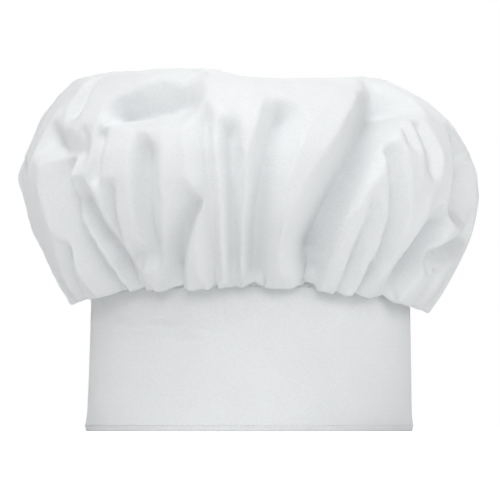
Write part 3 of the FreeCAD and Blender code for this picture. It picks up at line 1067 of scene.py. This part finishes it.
def make_stitching(thread):
    """All the rows of stitching on the band and the tab."""
    face = BAND_RADIUS + THREAD_LIES
    last = RING + TAB_SEAM
    hem_z, top_z = middle_height("hem_stitching"), middle_height("top_edge_stitching")
    neck_start, neck_z = UNDERLAP_END + 1 * DEGREE, middle_height("gathering_thread")
    seam = TAB_SEAM + EDGE_INSET
    lap_end = box_angles("underlap_end_stitching")[0]
    lap_path = [(lap_end, z) for z in box_heights("underlap_end_stitching")]
    low, high = hem_z, TAB_TOP - hem_z
    root, tip = HINGE + BEND_HALF + 0.3 * DEGREE, TAB_TIP - hem_z / TAB_RADIUS
    tab_edge = [(root, low), (tip - EDGE_INSET, low), (tip, low + CORNER_CUT), (tip, high - CORNER_CUT),
                (tip - EDGE_INSET, high), (root, high)]
    loop_frame, hook_frame = frame_path("loop_tape_stitching"), frame_path("hook_tape_stitching")
    made = [
        ("hem", "band", face + HEM_LIES, [(STITCHING_START, hem_z), (last, hem_z)]),
        ("top_edge", "band", face, [(STITCHING_START, top_z), (last, top_z)]),
        ("underlap_end", "band", face, lap_path),
        ("tab_seam", "band", face, [(seam, 2.5 * MM), (seam, TAB_TOP - 2 * MM)]),
        ("tab_edge", "closure_tab", face, tab_edge),
        ("loop_tape", "band", LOOP_BASE[1] + THREAD_LIES, loop_frame),
        ("hook_tape", "closure_tab", face, hook_frame),
        ("gathering", "band", LINING_OUTER + THREAD_LIES, [(neck_start, neck_z), (last, neck_z)]),
    ]
    # the seam's row isn't in the frame, and the gathering thread has a name of its own
    other_nodes = {"tab_seam": [], "gathering": ["gathering_thread"]}
    for row, body, radius, path in made:
        piece = stitches(row + "_stitches", path, radius, on_band if body == "band" else on_tab)
        dress(piece, thread, "thread", *other_nodes.get(row, [row + "_stitching"]), body=body)


def arches(name, angles, heights, radius, place, way, width, strand):
    """A field of arches of yarn: loops standing outward where way is 1, open hooks inward where it is -1."""
    sides, rings = 4, 5
    reach = 1.0 if way > 0 else 1.35
    turn = (np.linspace(0, 1, rings) * reach * math.pi)[:, None]
    around = np.arange(sides) * RING / sides + math.pi / 4
    bow = -np.cos(turn) * width / 2
    along = bow - np.sin(around) * np.sin(turn) * strand / 2
    aside = np.cos(around) * strand / 2
    # past its top a hook turns down only a little
    rise = np.sin(turn) * PILE_RISE * np.where(turn < math.pi, 1, 0.4)
    up = rise + np.sin(around) * np.abs(np.cos(turn)) * strand / 2
    draw = np.random.default_rng(5)
    points, faces = [], []
    for i in range(int((heights[1] - heights[0]) / PILE_PITCH)):
        for j in range(int((angles[1] - angles[0]) * radius / PILE_PITCH)):
            z = heights[0] + (i + 0.5 + draw.uniform(-0.25, 0.25)) * PILE_PITCH
            column = j + 0.5 + 0.5 * (i % 2) + draw.uniform(-0.25, 0.25)
            a = angles[0] + column * PILE_PITCH / radius
            if a > angles[1]:
                continue
            twist = draw.uniform(-0.6, 0.6)
            at_angle = a + (along * math.cos(twist) - aside * math.sin(twist)) / radius
            at_height = z + bow * math.sin(twist) + aside * math.cos(twist)
            faces += tube_faces(len(points), rings, sides)
            points.extend(place(at_angle, radius + way * up, at_height).reshape(-1, 3))
    return new_piece(name, points, faces)


def make_tape(kind, body, place, base, face, way, width, strand, material):
    """A tape's woven ground, and its field of loops or hooks."""
    node = kind + "_tape"
    angles, heights = box_angles(node), box_heights(node)
    inset = TAPE_INSET / BAND_RADIUS
    field_angles = (angles[0] + inset, angles[1] - inset)
    field_heights = (heights[0] + TAPE_INSET, heights[1] - TAPE_INSET)
    ground = sweep(node + "_ground", strip_section(base, heights), angle_steps(*angles), place)
    pile = arches(kind + "_pile", field_angles, field_heights, face, place, way, width, strand)
    for piece in (ground, pile):
        dress(piece, material, kind, node, body=body)


def make_label(thread):
    """A blank woven label, sewn inside the lining near its top edge and curling off it at the foot."""
    low, high = box_heights("care_label")
    outer = TAB_INSIDE - LAYER_GAP

    def curled(angle, radius, height):
        angle, radius, height = np.broadcast_arrays(angle, radius, height)
        share = np.clip((high - height) / (high - low), 0, 1)
        return on_band(angle, radius - LABEL_CURL * share**2 * (1 + 0.4 * np.sin(angle * 60)), height)

    section = strip_section((outer - LABEL_THICK, outer), (low, high))
    label = sweep("care_label_cloth", section, angle_steps(*LABEL_SPAN), curled)
    dress(label, label_satin(), "label", "care_label", body="band")
    first, last = LABEL_SPAN[0] + 0.4 * DEGREE, LABEL_SPAN[1] - 0.4 * DEGREE
    path = [(first, high - 2 * MM), (last, high - 2 * MM)]
    sewn = stitches("care_label_stitches", path, outer - LABEL_THICK - LAYER_GAP, on_band, 1.7 * MM, 2.2 * MM)
    dress(sewn, thread, "thread", body="band")


def make_band():
    cloth, felt, thread = cotton("band_cotton", 0.175), interlining_fibre(), thread_cotton()
    make_band_cloth(cloth, felt)
    make_tab_cloth(cloth, felt)
    make_tape("loop", "band", on_band, LOOP_BASE, LOOP_BASE[1], 1, 0.9 * MM, 0.16 * MM,
              tape_nylon("loop_knit", LOOP_TINT))
    make_tape("hook", "closure_tab", on_tab, HOOK_BASE, HOOK_BASE[0], -1, 0.5 * MM, 0.15 * MM,
              tape_nylon("hook_nylon", HOOK_TINT))
    make_stitching(thread)
    make_label(thread)


# ---- stage ----
def make_floor():
    """A plain white floor. From below it is clear, and it lets the room's light up into the hat."""
    corners = [(x * FLOOR_HALF, y * FLOOR_HALF, 0) for x, y in ((-1, -1), (1, -1), (1, 1), (-1, 1))]
    floor = new_piece("floor", corners, [(0, 1, 2, 3)])
    n = Nodes("floor_white")
    grey = n.total(0.93, (n.noise(n.place("Object"), 3.0, 2.0), 0.01))
    n.link(n.add("CombineColor", Red=grey, Green=grey, Blue=grey).outputs[0], n.shader.inputs["Base Color"])
    n.shader.inputs["Roughness"].default_value = 0.9
    n.shader.inputs["Emission Color"].default_value = (1, 1, 1, 1)
    # a glow that only the camera sees takes the floor outside the band to the white of the backdrop
    x, y = n.parts(n.place("Object"))
    out = n.maths("ADD", n.maths("MULTIPLY", x, x), n.maths("MULTIPLY", y, y))
    outside = n.maths("GREATER_THAN", out, BAND_RADIUS**2)
    to_camera = n.add("LightPath").outputs["Is Camera Ray"]
    glow = n.maths("MULTIPLY", n.maths("MULTIPLY", to_camera, outside), FLOOR_GLOW)
    n.link(glow, n.shader.inputs["Emission Strength"])
    inside, from_light = n.maths("SUBTRACT", 1.0, outside), n.maths("SUBTRACT", 1.0, to_camera)
    lets_light_in = n.maths("MULTIPLY", inside, from_light)
    clear = n.maths("MAXIMUM", n.add("NewGeometry").outputs["Backfacing"], lets_light_in)
    mixed = n.add("MixShader")
    for value, socket in zip((clear, n.shader.outputs[0], n.add("BsdfTransparent").outputs[0]), mixed.inputs):
        n.link(value, socket)
    n.link(mixed.outputs[0], n.tree.nodes["Material Output"].inputs["Surface"])
    floor.data.materials.append(n.material)


def make_world():
    """A white backdrop for the camera, and a weaker even light on the hat."""
    world = bpy.data.worlds.new("studio")
    bpy.context.scene.world = world
    world.use_nodes = True
    tree = world.node_tree
    background = tree.nodes["Background"]
    strength = tree.nodes.new("ShaderNodeMapRange")
    strength.inputs["To Min"].default_value = WORLD_LIGHT
    strength.inputs["To Max"].default_value = 1.0
    tree.links.new(tree.nodes.new("ShaderNodeLightPath").outputs["Is Camera Ray"], strength.inputs["Value"])
    tree.links.new(strength.outputs[0], background.inputs["Strength"])
    background.inputs["Color"].default_value = (1, 1, 1, 1)


def make_lights():
    """Soft square lights round the hat, all turned to its middle."""
    for name, (turn, rise, power) in LIGHTS.items():
        turn, rise = turn * DEGREE, rise * DEGREE
        way = Vector((math.cos(rise) * math.sin(turn), -math.cos(rise) * math.cos(turn), math.sin(rise)))
        light = bpy.data.lights.new(name, "AREA")
        light.shape = "RECTANGLE"
        light.size = light.size_y = LIGHT_SIZE
        light.energy = power
        lamp = bpy.data.objects.new(name, light)
        lamp.location = Vector(LIGHT_TARGET) + LIGHT_DISTANCE * way
        lamp.rotation_euler = (-way).to_track_quat("-Z", "Y").to_euler()
        bpy.context.scene.collection.objects.link(lamp)


def make_camera():
    """A nearly level view from in front, tipped up so that the hat sits in the middle of the frame."""
    camera = bpy.data.cameras.new("camera")
    camera.sensor_width = 36.0
    camera.lens = CAMERA_LENS
    camera.clip_start, camera.clip_end = 0.05, 50
    holder = bpy.data.objects.new("camera", camera)
    holder.location = (CAMERA_ASIDE, -CAMERA_DISTANCE, CAMERA_HEIGHT)
    tip = math.atan2(CAMERA_AIM - CAMERA_HEIGHT, CAMERA_DISTANCE)
    holder.rotation_euler = (math.pi / 2 + tip, 0, 0)
    bpy.context.scene.collection.objects.link(holder)
    bpy.context.scene.camera = holder
    bpy.context.scene.view_settings.view_transform = "Standard"


make_crown()
make_band()
make_floor()
make_world()
make_lights()
make_camera()
